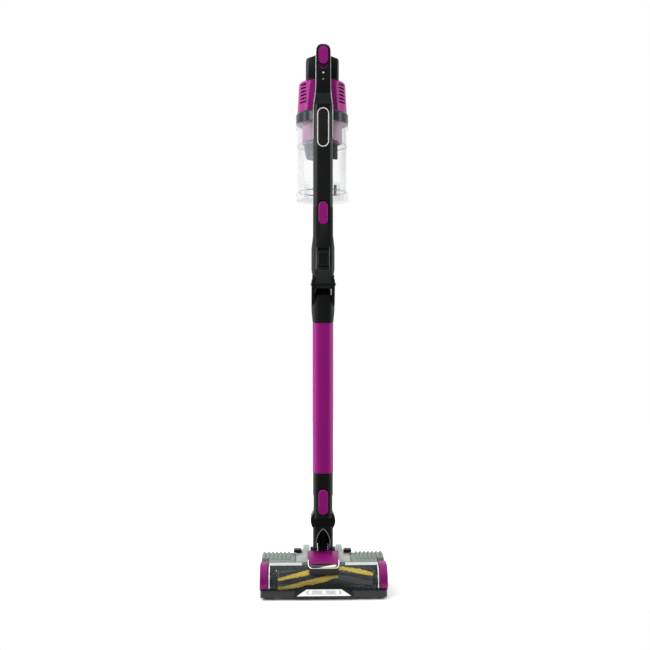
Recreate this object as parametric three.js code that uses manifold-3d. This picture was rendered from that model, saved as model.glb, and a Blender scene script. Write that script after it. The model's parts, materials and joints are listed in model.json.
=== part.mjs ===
// A cordless stick vacuum: powered nozzle, swivel neck, folding wand and a hand vacuum with a clear cup.
// Units are millimetres, +Z is up, the nozzle faces -Y, and the origin is on the floor under the tilt axis.
import * as THREE from "three";
import { mergeVertices } from "three/addons/utils/BufferGeometryUtils.js";
import Module from "manifold-3d";

const wasm = await Module();
wasm.setup();

// ---- Driving dimensions ----
const GAP = 0.3; // clearance between touching pieces
const WALL = 3; // moulded wall thickness
const NOZZLE = { half: 129, inside: 112, front: -101, rear: 36, floor: 5, split: 44.4, top: 62.5 };
const ROLL = { y: -65, z: 33.3, core: 17, tip: 28.5, window: 33.5, shaft: 4 };
const DRIVE = { y: -3, z: 27, pulley: 6, rollPulley: 12, belt: 5, x: -101 };
const WHEEL = { y: 26, r: 11, inner: 84, outer: 100, axle: 2 };
const TILT = { y: 0, z: 72, barrel: 12, half: 26 };
const SWIVEL = { z: 145, disc: 25.7, front: -33, rear: 2.5 };
const WAND = { y: -18, width: 43, depth: 42, bottom: 244, top: 557, bore: 13.5 };
const FOLD = { y: -42, z: 636.5, ear: 10, half: 24.1, tongue: 17.2, guard: 19, guardHalf: 22.6 };
const SLEEVE = { bottom: 656, top: 796 };
const SPINE = { y: -24, width: 41, depth: 30, top: 1010, rear: -9, front: -39 };
const GRIP = { half: 15.1, front: -54, back: -26, top: 1133, split: -45 };
const CUP = { y: 44.5, r: 53, wall: 2, bottom: 838.3, top: 983.7, port: [5, 17, 908, 938] };
const LID = { r: 56.3, bottom: 819, hingeY: 99.1, hingeZ: 843, knuckle: 1.9, pin: 1 };
const RING = { r: 56.5, bottom: 984, top: 1007 };
const MOTOR = { r: 53.6, top: 1072, flat: 2, slots: 6, slotPitch: 7.6, slotLow: 1026 };
const BATTERY = { half: 35.3, front: 17, rear: 86, bottom: 1075.4, top: 1128.5 };

// ---- Finishes ----
const finish = (color, roughness, metalness = 0, opacity = 1) =>
  new THREE.MeshStandardMaterial({ color, roughness, metalness, opacity, transparent: opacity < 1 });
const MAGENTA = finish(0x9b1f7c, 0.35);
const BLACK = finish(0x212323, 0.45);
const GRAPHITE = finish(0x3a4040, 0.45);
const SLATE = finish(0x46525a, 0.4);
const SILVER = finish(0xaab7ae, 0.35);
const RIBBED = finish(0x84908a, 0.5);
const CLEAR = finish(0xe8eef0, 0.08, 0, 0.3);
const SMOKE = finish(0x6a767c, 0.1, 0, 0.4);
const MAUVE = finish(0xa5789a, 0.4);
const YELLOW = finish(0xe0ae2c, 0.6);
const STEEL = finish(0xb8bcc0, 0.3, 0.9);
const RUBBER = finish(0x1c1d1d, 0.85);
const WHITE = finish(0xe6eaea, 0.25);

// ---- Solids ----
// A geometry as a manifold solid, with its faces turned out if its profile ran the other way.
function solid(geometry) {
  const bare = new THREE.BufferGeometry();
  const source = geometry.index ? geometry.toNonIndexed() : geometry;
  bare.setAttribute("position", source.getAttribute("position"));
  const merged = mergeVertices(bare, 1e-3);
  const corners = merged.index.array;
  const kept = [];
  for (let i = 0; i < corners.length; i += 3) {
    const [a, b, c] = corners.slice(i, i + 3);
    if (a !== b && b !== c && a !== c) kept.push(a, b, c);
  }
  const vertProperties = merged.attributes.position.array;
  const make = (order) =>
    new wasm.Manifold(new wasm.Mesh({ numProp: 3, vertProperties, triVerts: new Uint32Array(order) }));
  const made = make(kept);
  return made.volume() < 0 ? make(kept.reverse()) : made;
}

const join = (first, ...rest) => rest.reduce((sum, next) => sum.add(next), first);
const cut = (first, ...rest) => rest.reduce((left, next) => left.subtract(next), first);
const common = (first, ...rest) => rest.reduce((shared, next) => shared.intersect(next), first);

function box(x0, x1, y0, y1, z0, z1) {
  const geometry = new THREE.BoxGeometry(Math.abs(x1 - x0), y1 - y0, z1 - z0);
  return solid(geometry.translate((x0 + x1) / 2, (y0 + y1) / 2, (z0 + z1) / 2));
}

// Outlines for an extrusion along x lie in the (y, z) plane, along y in (x, z) and along z in (x, y).
const vector = (x, y, z) => new THREE.Vector3(x, y, z);
const TURN = {
  x: new THREE.Matrix4().makeBasis(vector(0, 1, 0), vector(0, 0, 1), vector(1, 0, 0)),
  y: new THREE.Matrix4().makeBasis(vector(1, 0, 0), vector(0, 0, 1), vector(0, -1, 0)),
  z: new THREE.Matrix4(),
};

function extrude(shape, axis, from, to, { bevel = 0, curveSegments = 3, steps = 1, shapeWarp } = {}) {
  const geometry = new THREE.ExtrudeGeometry(shape, {
    depth: to - from - 2 * bevel,
    steps,
    curveSegments,
    bevelEnabled: bevel > 0,
    bevelThickness: bevel,
    bevelSize: bevel,
    bevelOffset: -bevel,
    bevelSegments: 1,
  });
  geometry.translate(0, 0, bevel);
  geometry.applyMatrix4(TURN[axis]);
  const start = { x: [from, 0, 0], y: [0, to, 0], z: [0, 0, from] }[axis];
  geometry.translate(...start);
  if (shapeWarp) shapeWarp(geometry.getAttribute("position"));
  return solid(geometry);
}

const polygon = (points) => new THREE.Shape(points.map(([u, v]) => new THREE.Vector2(u, v)));

function circle(u, v, r) {
  return new THREE.Shape().absarc(u, v, r, 0, Math.PI * 2, false);
}

function roundedRect(u, v, width, height, r) {
  const [w, h] = [width / 2 - r, height / 2 - r];
  const quarter = Math.PI / 2;
  const shape = new THREE.Shape();
  shape.absarc(u + w, v + h, r, 0, quarter, false);
  shape.absarc(u - w, v + h, r, quarter, 2 * quarter, false);
  shape.absarc(u - w, v - h, r, 2 * quarter, 3 * quarter, false);
  shape.absarc(u + w, v - h, r, 3 * quarter, 4 * quarter, false);
  return shape;
}

function stadium(u, low, high, half) {
  const shape = new THREE.Shape();
  shape.absarc(u, high - half, half, 0, Math.PI, false);
  shape.absarc(u, low + half, half, Math.PI, 2 * Math.PI, false);
  return shape;
}

// The outline round two circles and the tangents that join them, such as a belt or a lever.
function twoCircles([u1, v1], r1, [u2, v2], r2) {
  const along = Math.atan2(v2 - v1, u2 - u1);
  const spread = Math.acos((r1 - r2) / Math.hypot(u2 - u1, v2 - v1));
  const shape = new THREE.Shape();
  shape.absarc(u1, v1, r1, along + spread, along - spread + 2 * Math.PI, false);
  shape.absarc(u2, v2, r2, along - spread, along + spread, false);
  return shape;
}

// The part of a ring between two angles in degrees.
function ringSector(u, v, inner, outer, from, to) {
  const [a, b] = [THREE.MathUtils.degToRad(from), THREE.MathUtils.degToRad(to)];
  const shape = new THREE.Shape();
  shape.absarc(u, v, outer, a, b, false);
  shape.absarc(u, v, inner, b, a, true);
  return shape;
}

const rod = (axis, u, v, r, from, to, curveSegments = 12) =>
  extrude(circle(u, v, r), axis, from, to, { curveSegments });

// A closed outline of [radius, height] points turned about the cup's axis.
function revolve(profile, segments = 32) {
  const points = [...profile, profile[0]].map(([r, z]) => new THREE.Vector2(r, z));
  const geometry = new THREE.LatheGeometry(points, segments);
  return solid(geometry.rotateX(Math.PI / 2).translate(0, CUP.y, 0));
}

function piece(name, shape, material) {
  const mesh = shape.getMesh();
  const geometry = new THREE.BufferGeometry();
  const positions = new Float32Array(mesh.numVert * 3);
  for (let i = 0; i < mesh.numVert; i++) {
    positions.set(mesh.vertProperties.subarray(i * mesh.numProp, i * mesh.numProp + 3), i * 3);
  }
  geometry.setAttribute("position", new THREE.BufferAttribute(positions, 3));
  geometry.setIndex(new THREE.BufferAttribute(mesh.triVerts, 1));
  geometry.computeVertexNormals();
  const made = new THREE.Mesh(geometry, material);
  made.name = name;
  return made;
}

const bothSides = (make) => [make("left", -1), make("right", 1)];
const span = (side, near, far) => [Math.min(side * near, side * far), Math.max(side * near, side * far)];

// ---- Nozzle ----
const BELT_SLOT = [DRIVE.x - 5, DRIVE.x + 5];
const BUMPER_REAR = -92;
const CORNER_REAR = -60;

function nozzleBase() {
  const { inside, floor, split } = NOZZLE;
  const shell = join(
    box(-126, 126, -28, 34, floor, 44),
    box(-inside, inside, BUMPER_REAR + GAP, -27, floor, 8),
  );
  let base = cut(
    shell,
    box(-126 + WALL, 126 - WALL, -25, 31, 8, split + 1),
    box(-100, 108, -88, -28.4, floor - 1, 9),
    box(-24, 24, -29, -24, 10, 36),
    box(...BELT_SLOT, -29, -24, 15, split + 1),
  );
  const { y, r, inner, outer, axle } = WHEEL;
  for (const side of [-1, 1]) {
    base = cut(base, box(...span(side, inner - 1, outer + 1), y - r - 2, 37, floor - 1, 26));
    base = join(
      base,
      box(...span(side, inner - 4, inner - 0.8), y - 10, 32, 7, 22),
      box(...span(side, outer + 0.8, outer + 4), y - 10, 32, 7, 22),
    );
  }
  return cut(base, rod("x", y, r, axle + GAP, -outer - 5, outer + 5));
}

function rearCover() {
  const { half, top, split, rear } = NOZZLE;
  const outer = polygon([
    [-42.9, 59.3], [-36, 63.5], [-14, 68], [8, 68.6], [20, 66], [31, 57], [rear, split],
    [-27.9, split], [-27.9, 56.4], [-41.5, 56.4],
  ]);
  const inner = polygon([[-24.7, 40], [33, 40], [30.5, 51], [20.5, 57], [0, 59.5], [-24.7, 59.5]]);
  const crown = polygon([
    [-24.7, 58], [-24.7, 62.5], [-13, 65], [8, 65.6], [18.5, 63.5], [26, 56], [0, 50],
  ]);
  const rib = polygon([
    [-34, 62], [-30, 67], [-12, 70.6], [8, 71.2], [21.5, 68.4], [33.5, 58.5], [31, 54], [0, 64],
  ]);
  const end = half - 1.7;
  let cover = cut(
    extrude(outer, "x", -end, end),
    extrude(inner, "x", -end + WALL, end - WALL),
    extrude(crown, "x", -end + WALL, -60),
    extrude(crown, "x", 60, end - WALL),
    box(-57.3, 57.3, -50, 40, top, 80),
    box(-40, 40, -26, 37, 56, 70),
  );
  for (const side of [-1, 1]) {
    for (let ridge = 0; ridge < 7; ridge++) {
      const x = side * (71.5 + 8.6 * ridge);
      cover = join(cover, extrude(rib, "x", x - 2.1, x + 2.1));
    }
    cover = cut(cover, box(...span(side, NOZZLE.inside, half + 1), -50, -27.6, 40, 75));
  }
  return cover;
}

function endCap(side) {
  const { inside, half, floor } = NOZZLE;
  const outline = new THREE.Shape();
  outline.moveTo(-28.3, floor);
  outline.lineTo(-28.3, 60.5);
  outline.lineTo(-46, 65.5);
  outline.absarc(ROLL.y, 34, 33, Math.PI * 0.4, Math.PI * 1.3, false);
  outline.lineTo(-75, floor);
  const block = extrude(outline, "x", ...span(side, inside + GAP, half), { bevel: 1.5, curveSegments: 10 });
  return cut(
    block,
    box(-200, 200, -130, CORNER_REAR + GAP, 0, 19.8),
    box(-200, 200, -130, 40, -20, floor),
    rod("x", ROLL.y, ROLL.z, 8.3, ...span(side, 100, 116.5)),
  );
}

function brushWindow() {
  const arc = ringSector(ROLL.y, ROLL.z, ROLL.window - 2.3, ROLL.window, 51, 203);
  return extrude(arc, "x", -NOZZLE.inside + 0.1, NOZZLE.inside - 0.1, { curveSegments: 20 });
}

const HEADLIGHT = {
  bezel: polygon([[-59.5, 7.4], [59.5, 7.4], [56, 18.5], [38, 31], [-38, 31], [-56, 18.5]]),
  window: polygon([[-56, 8.8], [56, 8.8], [35.4, 22.9], [-35.4, 22.9]]),
  reflector: polygon([[-55, 9.1], [55, 9.1], [35, 22.6], [-35, 22.6]]),
};

function frontBumper() {
  const outline = polygon([
    [-99, 7], [-97, 5], [BUMPER_REAR, 5], [BUMPER_REAR, 19.4], [-99.8, 19.4], [-99.8, 12],
  ]);
  const half = 127.6;
  const corners = [-1, 1].map((side) =>
    box(...span(side, NOZZLE.inside + GAP, half), BUMPER_REAR - 0.2, CORNER_REAR, 5, 19.4),
  );
  const bar = common(
    join(extrude(outline, "x", -half, half), ...corners),
    extrude(roundedRect(0, -49.9, 2 * half, 99.8, 7), "z", 0, 40),
  );
  const seat = polygon([[-60, 7], [60, 7], [56.4, 18.7], [54, 20.5], [-54, 20.5], [-56.4, 18.7]]);
  return cut(bar, extrude(seat, "y", -102, -98.5), box(-36.5, 36.5, -99, -94, 9, 20.5));
}

function headlightReflector() {
  const plate = extrude(HEADLIGHT.reflector, "y", -100.5, -99);
  return cut(plate, extrude(roundedRect(0, 16.2, 70, 7.2, 3.5), "y", -101, -98));
}

function centreCover() {
  const front = polygon([
    [-56, 62.8], [56, 62.8], [56, 69.7], [43.2, 69.7], [40.5, 83.5],
    [-40.5, 83.5], [-43.2, 69.7], [-56, 69.7],
  ]);
  const side = polygon([
    [-47, 62.8], [-44, 65.5], [-30, 71.5], [-16, 77], [-2, 82.3],
    [6, 83.5], [22, 83.5], [29, 78], [36, 62.8],
  ]);
  const hump = common(extrude(front, "y", -47, 36), extrude(side, "x", -57, 57));
  const cheeks = cut(hump, box(-27.6, 27.6, -13.5, 40, 60, 90), box(-31.8, 31.8, -50, -13.4, 60, 90));
  return cut(
    join(cheeks, box(-33, 33, -24, -14, 62.8, 66), box(-29, 29, 24, 34, 62.8, 65.5)),
    rod("x", TILT.y, TILT.z, 4.3, -40.4, 40.4),
  );
}

function ductCover() {
  const side = polygon([
    [-13.8, 78.8], [-30, 79.3], [-48, 77.3], [-62, 73.8], [-74, 69], [-84, 61.5], [-84, 55], [-13.8, 55],
  ]);
  const plan = new THREE.Shape();
  plan.moveTo(31, -13.7);
  plan.lineTo(-31, -13.7);
  plan.absarc(-19, -72, 12, Math.PI, Math.PI * 1.5, false);
  plan.absarc(19, -72, 12, Math.PI * 1.5, Math.PI * 2, false);
  const dome = common(extrude(side, "x", -31, 31, { bevel: 2 }), extrude(plan, "z", 50, 90));
  return cut(
    dome,
    rod("x", ROLL.y, ROLL.z, ROLL.window + 0.5, -40, 40, 24),
    box(-28, 28, -45, -10, 50, 75.5),
    box(-40, 40, -46, -10, 50, 66.4),
  );
}

function suctionDuct() {
  return cut(
    box(-26, 26, -24.6, 14, 8.4, 56.5),
    box(-23, 23, -26, 11, 12, 34),
    box(-14, 14, -11, 11, 20, 58),
  );
}

function coverLatch(side) {
  const top = roundedRect(side * 52.8, 73.6, 17, 7, 3.4);
  return extrude(top, "y", 1, 19, { bevel: 1 });
}

function nozzle() {
  const group = new THREE.Group();
  const glide = () => solid(new THREE.CylinderGeometry(6, 6.5, 4.6, 16).rotateX(Math.PI / 2));
  const bearing = cut(rod("x", 0, 0, 8, -3.8, 3.8), rod("x", 0, 0, ROLL.shaft + GAP, -5, 5));
  const belt = (grow) =>
    twoCircles([ROLL.y, ROLL.z], DRIVE.rollPulley + grow, [DRIVE.y, DRIVE.z], DRIVE.pulley + grow);
  const beltSpan = [DRIVE.x - DRIVE.belt / 2, DRIVE.x + DRIVE.belt / 2];
  const axleEnd = WHEEL.outer + 3.8;
  group.add(
    piece("nozzle_base", nozzleBase(), GRAPHITE),
    piece("rear_cover", rearCover(), RIBBED),
    piece("brush_window", brushWindow(), SMOKE),
    piece("front_bumper", frontBumper(), GRAPHITE),
    piece(
      "headlight_bezel",
      cut(extrude(HEADLIGHT.bezel, "y", -101, -98.9), extrude(HEADLIGHT.window, "y", -102, -98)),
      BLACK,
    ),
    piece("headlight_reflector", headlightReflector(), SILVER),
    piece("centre_cover", centreCover(), SILVER),
    piece("duct_cover", ductCover(), MAGENTA),
    piece("suction_duct", suctionDuct(), GRAPHITE),
    piece("brush_motor", rod("x", DRIVE.y, DRIVE.z, 14.5, -78, -32), STEEL),
    piece(
      "drive_belt",
      cut(
        extrude(belt(1.8), "x", ...beltSpan, { curveSegments: 8 }),
        extrude(belt(GAP), "x", beltSpan[0] - 1, beltSpan[1] + 1, { curveSegments: 8 }),
      ),
      RUBBER,
    ),
    piece("rear_axle", rod("x", WHEEL.y, WHEEL.r, WHEEL.axle, -axleEnd, axleEnd, 6), STEEL),
  );
  bothSides((name, side) => {
    const ring = piece("roll_bearing_" + name, bearing, STEEL);
    ring.position.set(side * 112.5, ROLL.y, ROLL.z);
    const foot = piece("glide_" + name, glide(), BLACK);
    foot.position.set(side * 118, -78, 2.3);
    group.add(
      piece("end_cap_" + name, endCap(side), MAGENTA),
      piece("cover_latch_" + name, coverLatch(side), BLACK),
      piece("tilt_pin_" + name, rod("x", TILT.y, TILT.z, 4, ...span(side, 16, 40), 8), STEEL),
      ring,
      foot,
    );
  });
  return group;
}

// ---- Brush roll and wheels ----
// Four fins on a sleeve, twisted so that each half sweeps towards the middle.
function brushFins() {
  const star = new THREE.Shape();
  const fins = 4;
  const [low, high] = [19.8, ROLL.tip];
  for (let i = 0; i < fins; i++) {
    const middle = (i * 2 * Math.PI) / fins;
    star.absarc(0, 0, high, middle - 0.07, middle + 0.07, false);
    star.absarc(0, 0, low, middle + 0.16, middle + (2 * Math.PI) / fins - 0.16, false);
  }
  const hole = new THREE.Path();
  for (let i = 4; i > 0; i--) hole.absarc(0, 0, 18.2, (i * Math.PI) / 2, ((i - 1) * Math.PI) / 2, true);
  star.holes.push(hole);
  const twist = (position) => {
    const p = new THREE.Vector3();
    for (let i = 0; i < position.count; i++) {
      p.fromBufferAttribute(position, i);
      p.applyAxisAngle(vector(1, 0, 0), Math.abs(p.x - 25) * 0.0087);
      position.setXYZ(i, p.x, p.y, p.z);
    }
  };
  return extrude(star, "x", -92, 100, { steps: 8, shapeWarp: twist });
}

function brushRoll() {
  const group = new THREE.Group();
  const [pulleyLow, pulleyHigh] = [DRIVE.x - 3, DRIVE.x + 3];
  const core = join(
    rod("x", 0, 0, ROLL.core, -96.5, 106),
    rod("x", 0, 0, ROLL.shaft, -115.5, 115.5, 8),
    rod("x", 0, 0, DRIVE.rollPulley, pulleyLow, pulleyHigh),
    rod("x", 0, 0, 8, pulleyHigh - 1, -96),
  );
  const roll = new THREE.Group();
  roll.position.set(0, ROLL.y, ROLL.z);
  roll.add(piece("brushroll_core", core, GRAPHITE), piece("brush_fins", brushFins(), YELLOW));
  const pulley = join(
    rod("x", 0, 0, DRIVE.pulley, pulleyLow, pulleyHigh),
    rod("x", 0, 0, 2.5, pulleyLow - 1, -78.3, 6),
  );
  const driver = piece("motor_pulley", pulley, STEEL);
  driver.position.set(0, DRIVE.y, DRIVE.z);
  group.add(roll, driver);
  bothSides((name, side) => {
    const { inner, outer, axle, r, y } = WHEEL;
    const tyre = rod("x", 0, 0, r, ...span(side, inner, outer));
    const tread = cut(tyre, rod("x", 0, 0, axle + GAP, -120, 120, 8));
    const wheel = piece("wheel_" + name, tread, RUBBER);
    wheel.position.set(0, y, r);
    group.add(wheel);
  });
  return group;
}

// ---- Neck ----
function neckYoke() {
  const half = 20.75;
  const arch = new THREE.Shape();
  arch.moveTo(-13.2, 60);
  arch.lineTo(13.2, 60);
  arch.lineTo(13.2, 104);
  arch.quadraticCurveTo(12, 120, 0, 127);
  arch.quadraticCurveTo(-12, 120, -13.2, 104);
  const body = join(
    rod("x", TILT.y, TILT.z, TILT.barrel, -TILT.half, TILT.half, 14),
    extrude(roundedRect(0, -15.5, 2 * half, 47, 8), "z", 88, 134),
    box(-half, half, -11, 8, 74, 92),
    rod("y", 0, SWIVEL.z, 18, 2.9, 8, 14),
    box(-18, 18, 2.9, 8, 120, SWIVEL.z),
    rod("y", 0, SWIVEL.z, 5, -3, 4, 8),
  );
  return cut(
    body,
    rod("y", 0, SWIVEL.z, SWIVEL.disc + 0.6, SWIVEL.front - 0.5, 2.9, 20).subtract(
      rod("y", 0, SWIVEL.z, 5, -3, 4, 8),
    ),
    extrude(arch, "y", -45, 0),
    box(-13.2, 13.2, -1, 4.4, 88, 108),
    rod("z", 0, WAND.y, 11, 100, 122),
    box(-11.2, 11.2, -15, 15, 55, 90),
    rod("x", TILT.y, TILT.z, 4.3, -30, 30, 8),
  );
}

// A round hose of radius r whose middle line passes through the given points.
function hose(points, r, bore) {
  const path = new THREE.CatmullRomCurve3(points.map((p) => vector(...p)));
  const ring = new THREE.Shape().absarc(0, 0, r, 0, Math.PI * 2, false);
  ring.holes.push(new THREE.Path().absarc(0, 0, bore, 0, Math.PI * 2, true));
  return solid(new THREE.ExtrudeGeometry(ring, { steps: 6, curveSegments: 6, extrudePath: path }));
}

function wandSocket() {
  const disc = rod("y", 0, SWIVEL.z, SWIVEL.disc, SWIVEL.front, SWIVEL.rear, 20);
  const body = extrude(roundedRect(0, WAND.y, 39.6, WAND.depth, 12), "z", 151, 197.7);
  return cut(
    join(disc, cut(body, box(-30, 30, 2.6, 5, 140, 170))),
    rod("z", 0, WAND.y, WAND.bore, 110, 220),
    extrude(stadium(0, 158.5, 211.5, 10.3), "y", -42, -33.4),
    rod("y", 0, SWIVEL.z, 5.3, -8, 4, 8),
  );
}

function neck() {
  const group = new THREE.Group();
  const line = [[0, 0, 57], [0, 0, 61], [0, -1.5, 74], [0, -7, 90], [0, -15, 106], [0, -18, 118]];
  group.add(
    piece("neck_yoke", neckYoke(), GRAPHITE),
    piece("neck_hose", hose(line, 10, 8.2), RUBBER),
    piece("wand_socket", wandSocket(), BLACK),
    piece(
      "nozzle_release_button",
      extrude(stadium(0, 159, 211, 9.8), "y", -41.5, -36.5, { bevel: 1 }),
      MAGENTA,
    ),
  );
  return group;
}

// ---- Wand and its folding joint ----
const tubeEnd = (z0, z1) => extrude(roundedRect(0, WAND.y, 37, 36, 14), "z", z0, z1);

function wandCollar() {
  return cut(
    join(
      extrude(roundedRect(0, WAND.y, 41.5, WAND.depth, 13), "z", 198, WAND.bottom),
      rod("z", 0, WAND.y, WAND.bore - GAP, 172, 199),
      tubeEnd(WAND.bottom - 1, 262),
    ),
    rod("z", 0, WAND.y, 11.2, 160, 270),
    extrude(stadium(0, 158.5, 211.5, 10.3), "y", -42, -33.4),
  );
}

function wandTube() {
  const { y, width, depth, bottom, top } = WAND;
  const outer = roundedRect(0, y, width, depth, 16);
  outer.holes.push(roundedRect(0, y, width - 5.2, depth - 5.2, 14.2));
  return extrude(outer, "z", bottom + GAP, top - GAP);
}

function lowerKnuckle() {
  const { top, y, bore } = WAND;
  const { half, tongue, ear, guard, guardHalf } = FOLD;
  const front = polygon([[-21.3, top], [21.3, top], [half, 584], [half, 614], [-half, 614], [-half, 584]]);
  const body = common(
    extrude(roundedRect(0, y - 0.5, 2 * half, 43, 15), "z", top, 614),
    extrude(front, "y", -60, 20),
  );
  const cheek = twoCircles([FOLD.y, FOLD.z], ear, [-25, 604], 14);
  const ears = [-1, 1].map((side) =>
    extrude(cheek, "x", ...span(side, tongue + 0.4, half), { curveSegments: 10 }),
  );
  // A round guard inside each ear closes the side of the joint, and the sleeve turns clear of it.
  const guards = [-1, 1].map((side) =>
    cut(
      rod("x", FOLD.y, FOLD.z, guard, ...span(side, tongue + 0.4, guardHalf)),
      box(-30, 30, -70, FOLD.y - ear, 600, 670),
    ),
  );
  return cut(
    join(body, tubeEnd(top - 19, top + 1), ...ears, ...guards),
    rod("z", 0, y, bore, 530, 640),
    rod("x", FOLD.y, FOLD.z, 4.3, -40, 40, 8),
  );
}

function foldSleeve() {
  const { y, bore } = WAND;
  const { bottom, top } = SLEEVE;
  const { half, tongue, ear } = FOLD;
  const front = polygon([
    [-21.8, bottom], [21.8, bottom], [half, 668], [half, 712], [20.6, 738], [20.6, top],
    [-20.6, top], [-20.6, 738], [-half, 712], [-half, 668],
  ]);
  const body = common(
    extrude(roundedRect(0, y - 0.5, 2 * half, 43, 13), "z", bottom, top),
    extrude(front, "y", -60, 20),
  );
  const lug = extrude(twoCircles([FOLD.y, FOLD.z], ear, [-38, 662], 6), "x", -tongue, tongue, {
    curveSegments: 10,
  });
  const taper = polygon([[4, 735], [-8.6, 775], [-8.6, top + 1], [10, top + 1], [10, 735]]);
  return cut(
    join(body, lug),
    extrude(taper, "x", -40, 40),
    rod("z", 0, y, bore, 640, 745),
    rod("z", 0, -22.5, 9.4, 740, top + 1),
    rod("x", FOLD.y, FOLD.z, 4.3, -40, 40, 8),
    extrude(stadium(0, 759.5, 830, 10.2), "y", -45, -34.2),
    box(-11.4, 11.4, -45, -37.6, 672, 711),
  );
}

function wand() {
  const group = new THREE.Group();
  const line = [0, 1, 2, 3].map((i) => [0, WAND.y, 598 + 25 * i]);
  const slider = extrude(roundedRect(0, 688.5, 22, 32, 4), "y", -42.5, -38, { bevel: 1 });
  const release = extrude(stadium(0, 760, 808, 9.6), "y", -42.5, -37.4, { bevel: 1 });
  group.add(
    piece("wand_collar", wandCollar(), BLACK),
    piece("wand_tube", wandTube(), MAGENTA),
    piece("lower_knuckle", lowerKnuckle(), BLACK),
    piece("fold_pin", rod("x", FOLD.y, FOLD.z, 4, -26.5, 26.5, 8), STEEL),
    piece("fold_hose", hose(line, 12.6, 10.6), RUBBER),
    piece("fold_sleeve", foldSleeve(), BLACK),
    piece("fold_slider", slider, BLACK),
    piece("wand_release_button", release, MAGENTA),
  );
  return group;
}

// ---- Spine and handle ----
function cupPort(y0, y1) {
  const [x0, x1, z0, z1] = CUP.port;
  return box(x0, x1, y0, y1, z0, z1);
}

function spineTube() {
  const { y, width, depth, top } = SPINE;
  return cut(
    join(
      extrude(roundedRect(0, y, width, depth, 11), "z", SLEEVE.top + GAP, top),
      rod("z", 0, -22.5, 9, 770, 800),
    ),
    extrude(roundedRect(0, y - 0.5, 33, 21, 8), "z", 815, 950),
    rod("z", 0, -22.5, 7, 760, 820),
    cupPort(-18, -8),
    extrude(stadium(0, 740, 811, 10.2), "y", -45, -34.2),
    extrude(stadium(0, 920, 1003, 12.8), "y", -45, -38),
  );
}

// The handle's outline from the front, drawn in by inset.
function gripFront(inset) {
  const { half, top } = GRIP;
  const h = half - inset;
  const shape = new THREE.Shape();
  shape.moveTo(-20.4 + inset, SPINE.top + GAP);
  shape.lineTo(20.4 - inset, SPINE.top + GAP);
  shape.quadraticCurveTo(17 - inset, 1021, h, 1044);
  shape.absarc(0, top - half, h, 0, Math.PI, false);
  shape.lineTo(-h, 1044);
  shape.quadraticCurveTo(-17 + inset, 1021, -20.4 + inset, SPINE.top + GAP);
  return shape;
}

// The handle from the side: the grip leans forward of the spine, arches over and comes down to the dock.
function gripSide(proud = 0) {
  const { front, back, top } = GRIP;
  const foot = SPINE.top + GAP;
  const shape = new THREE.Shape();
  shape.moveTo(SPINE.rear, foot);
  shape.lineTo(SPINE.front - proud, foot);
  shape.bezierCurveTo(-41 - proud, 1030, front - proud, 1040, front - proud, 1066);
  shape.lineTo(front - proud, top - 17);
  shape.quadraticCurveTo(front - proud, top + proud, -40, top + proud);
  shape.lineTo(2, top);
  shape.quadraticCurveTo(16, top, 16, top - 16);
  shape.lineTo(16, BATTERY.bottom);
  shape.lineTo(3, BATTERY.bottom);
  shape.lineTo(3, 1094);
  shape.quadraticCurveTo(3, 1106, -8, 1106);
  shape.lineTo(-16, 1106);
  shape.quadraticCurveTo(back, 1106, back, 1094);
  shape.lineTo(back, 1060);
  shape.quadraticCurveTo(back, 1034, SPINE.rear - 4, 1024);
  return shape;
}

function handleWhole(inset) {
  return common(
    extrude(gripSide(), "x", -22, 22, { curveSegments: 8 }),
    extrude(gripFront(inset), "y", -60, 20, { curveSegments: 10 }),
  );
}

const BUTTON = { low: 1089, high: 1125, half: 9.8 };
const buttonHole = (to) =>
  extrude(stadium(0, BUTTON.low - 0.5, BUTTON.high + 0.5, BUTTON.half + 0.5), "y", -60, to);

function handleFront() {
  const skin = common(handleWhole(1.6), box(-30, 30, -70, GRIP.split - GAP, 1000, 1140));
  return cut(skin, buttonHole(-44));
}

function handleRear() {
  const block = common(handleWhole(0), box(-30, 30, GRIP.split, 20, 1000, 1140));
  const seat = polygon([[-37, 1067], [-20, 1067], [-20, 1099.5], [-37, 1099.5]]);
  return cut(block, extrude(seat, "x", -6.4, 6.4), buttonHole(GRIP.split + 3));
}

function powerButton() {
  const skin = extrude(gripSide(1.4), "x", -22, 22, { curveSegments: 8 });
  const outline = stadium(0, BUTTON.low, BUTTON.high, BUTTON.half);
  return common(skin, extrude(outline, "y", -58, GRIP.split, { curveSegments: 8 }));
}

function boostTrigger() {
  const blade = new THREE.Shape();
  blade.moveTo(-32, 1098);
  blade.lineTo(-26.5, 1098);
  blade.quadraticCurveTo(-22, 1090, -20.5, 1077);
  blade.quadraticCurveTo(-20.5, 1070.5, -25, 1070.5);
  blade.lineTo(-32, 1071);
  return extrude(blade, "x", -6, 6);
}

function handle() {
  const group = new THREE.Group();
  group.add(
    piece("spine_tube", spineTube(), BLACK),
    piece("badge_plate", extrude(stadium(0, 920.5, 1002.5, 12.4), "y", -39.8, -38.3), WHITE),
    piece("handle_front", handleFront(), BLACK),
    piece("handle_rear", handleRear(), GRAPHITE),
    piece("power_button", powerButton(), MAGENTA),
    piece("boost_trigger", boostTrigger(), BLACK),
  );
  return group;
}

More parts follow.
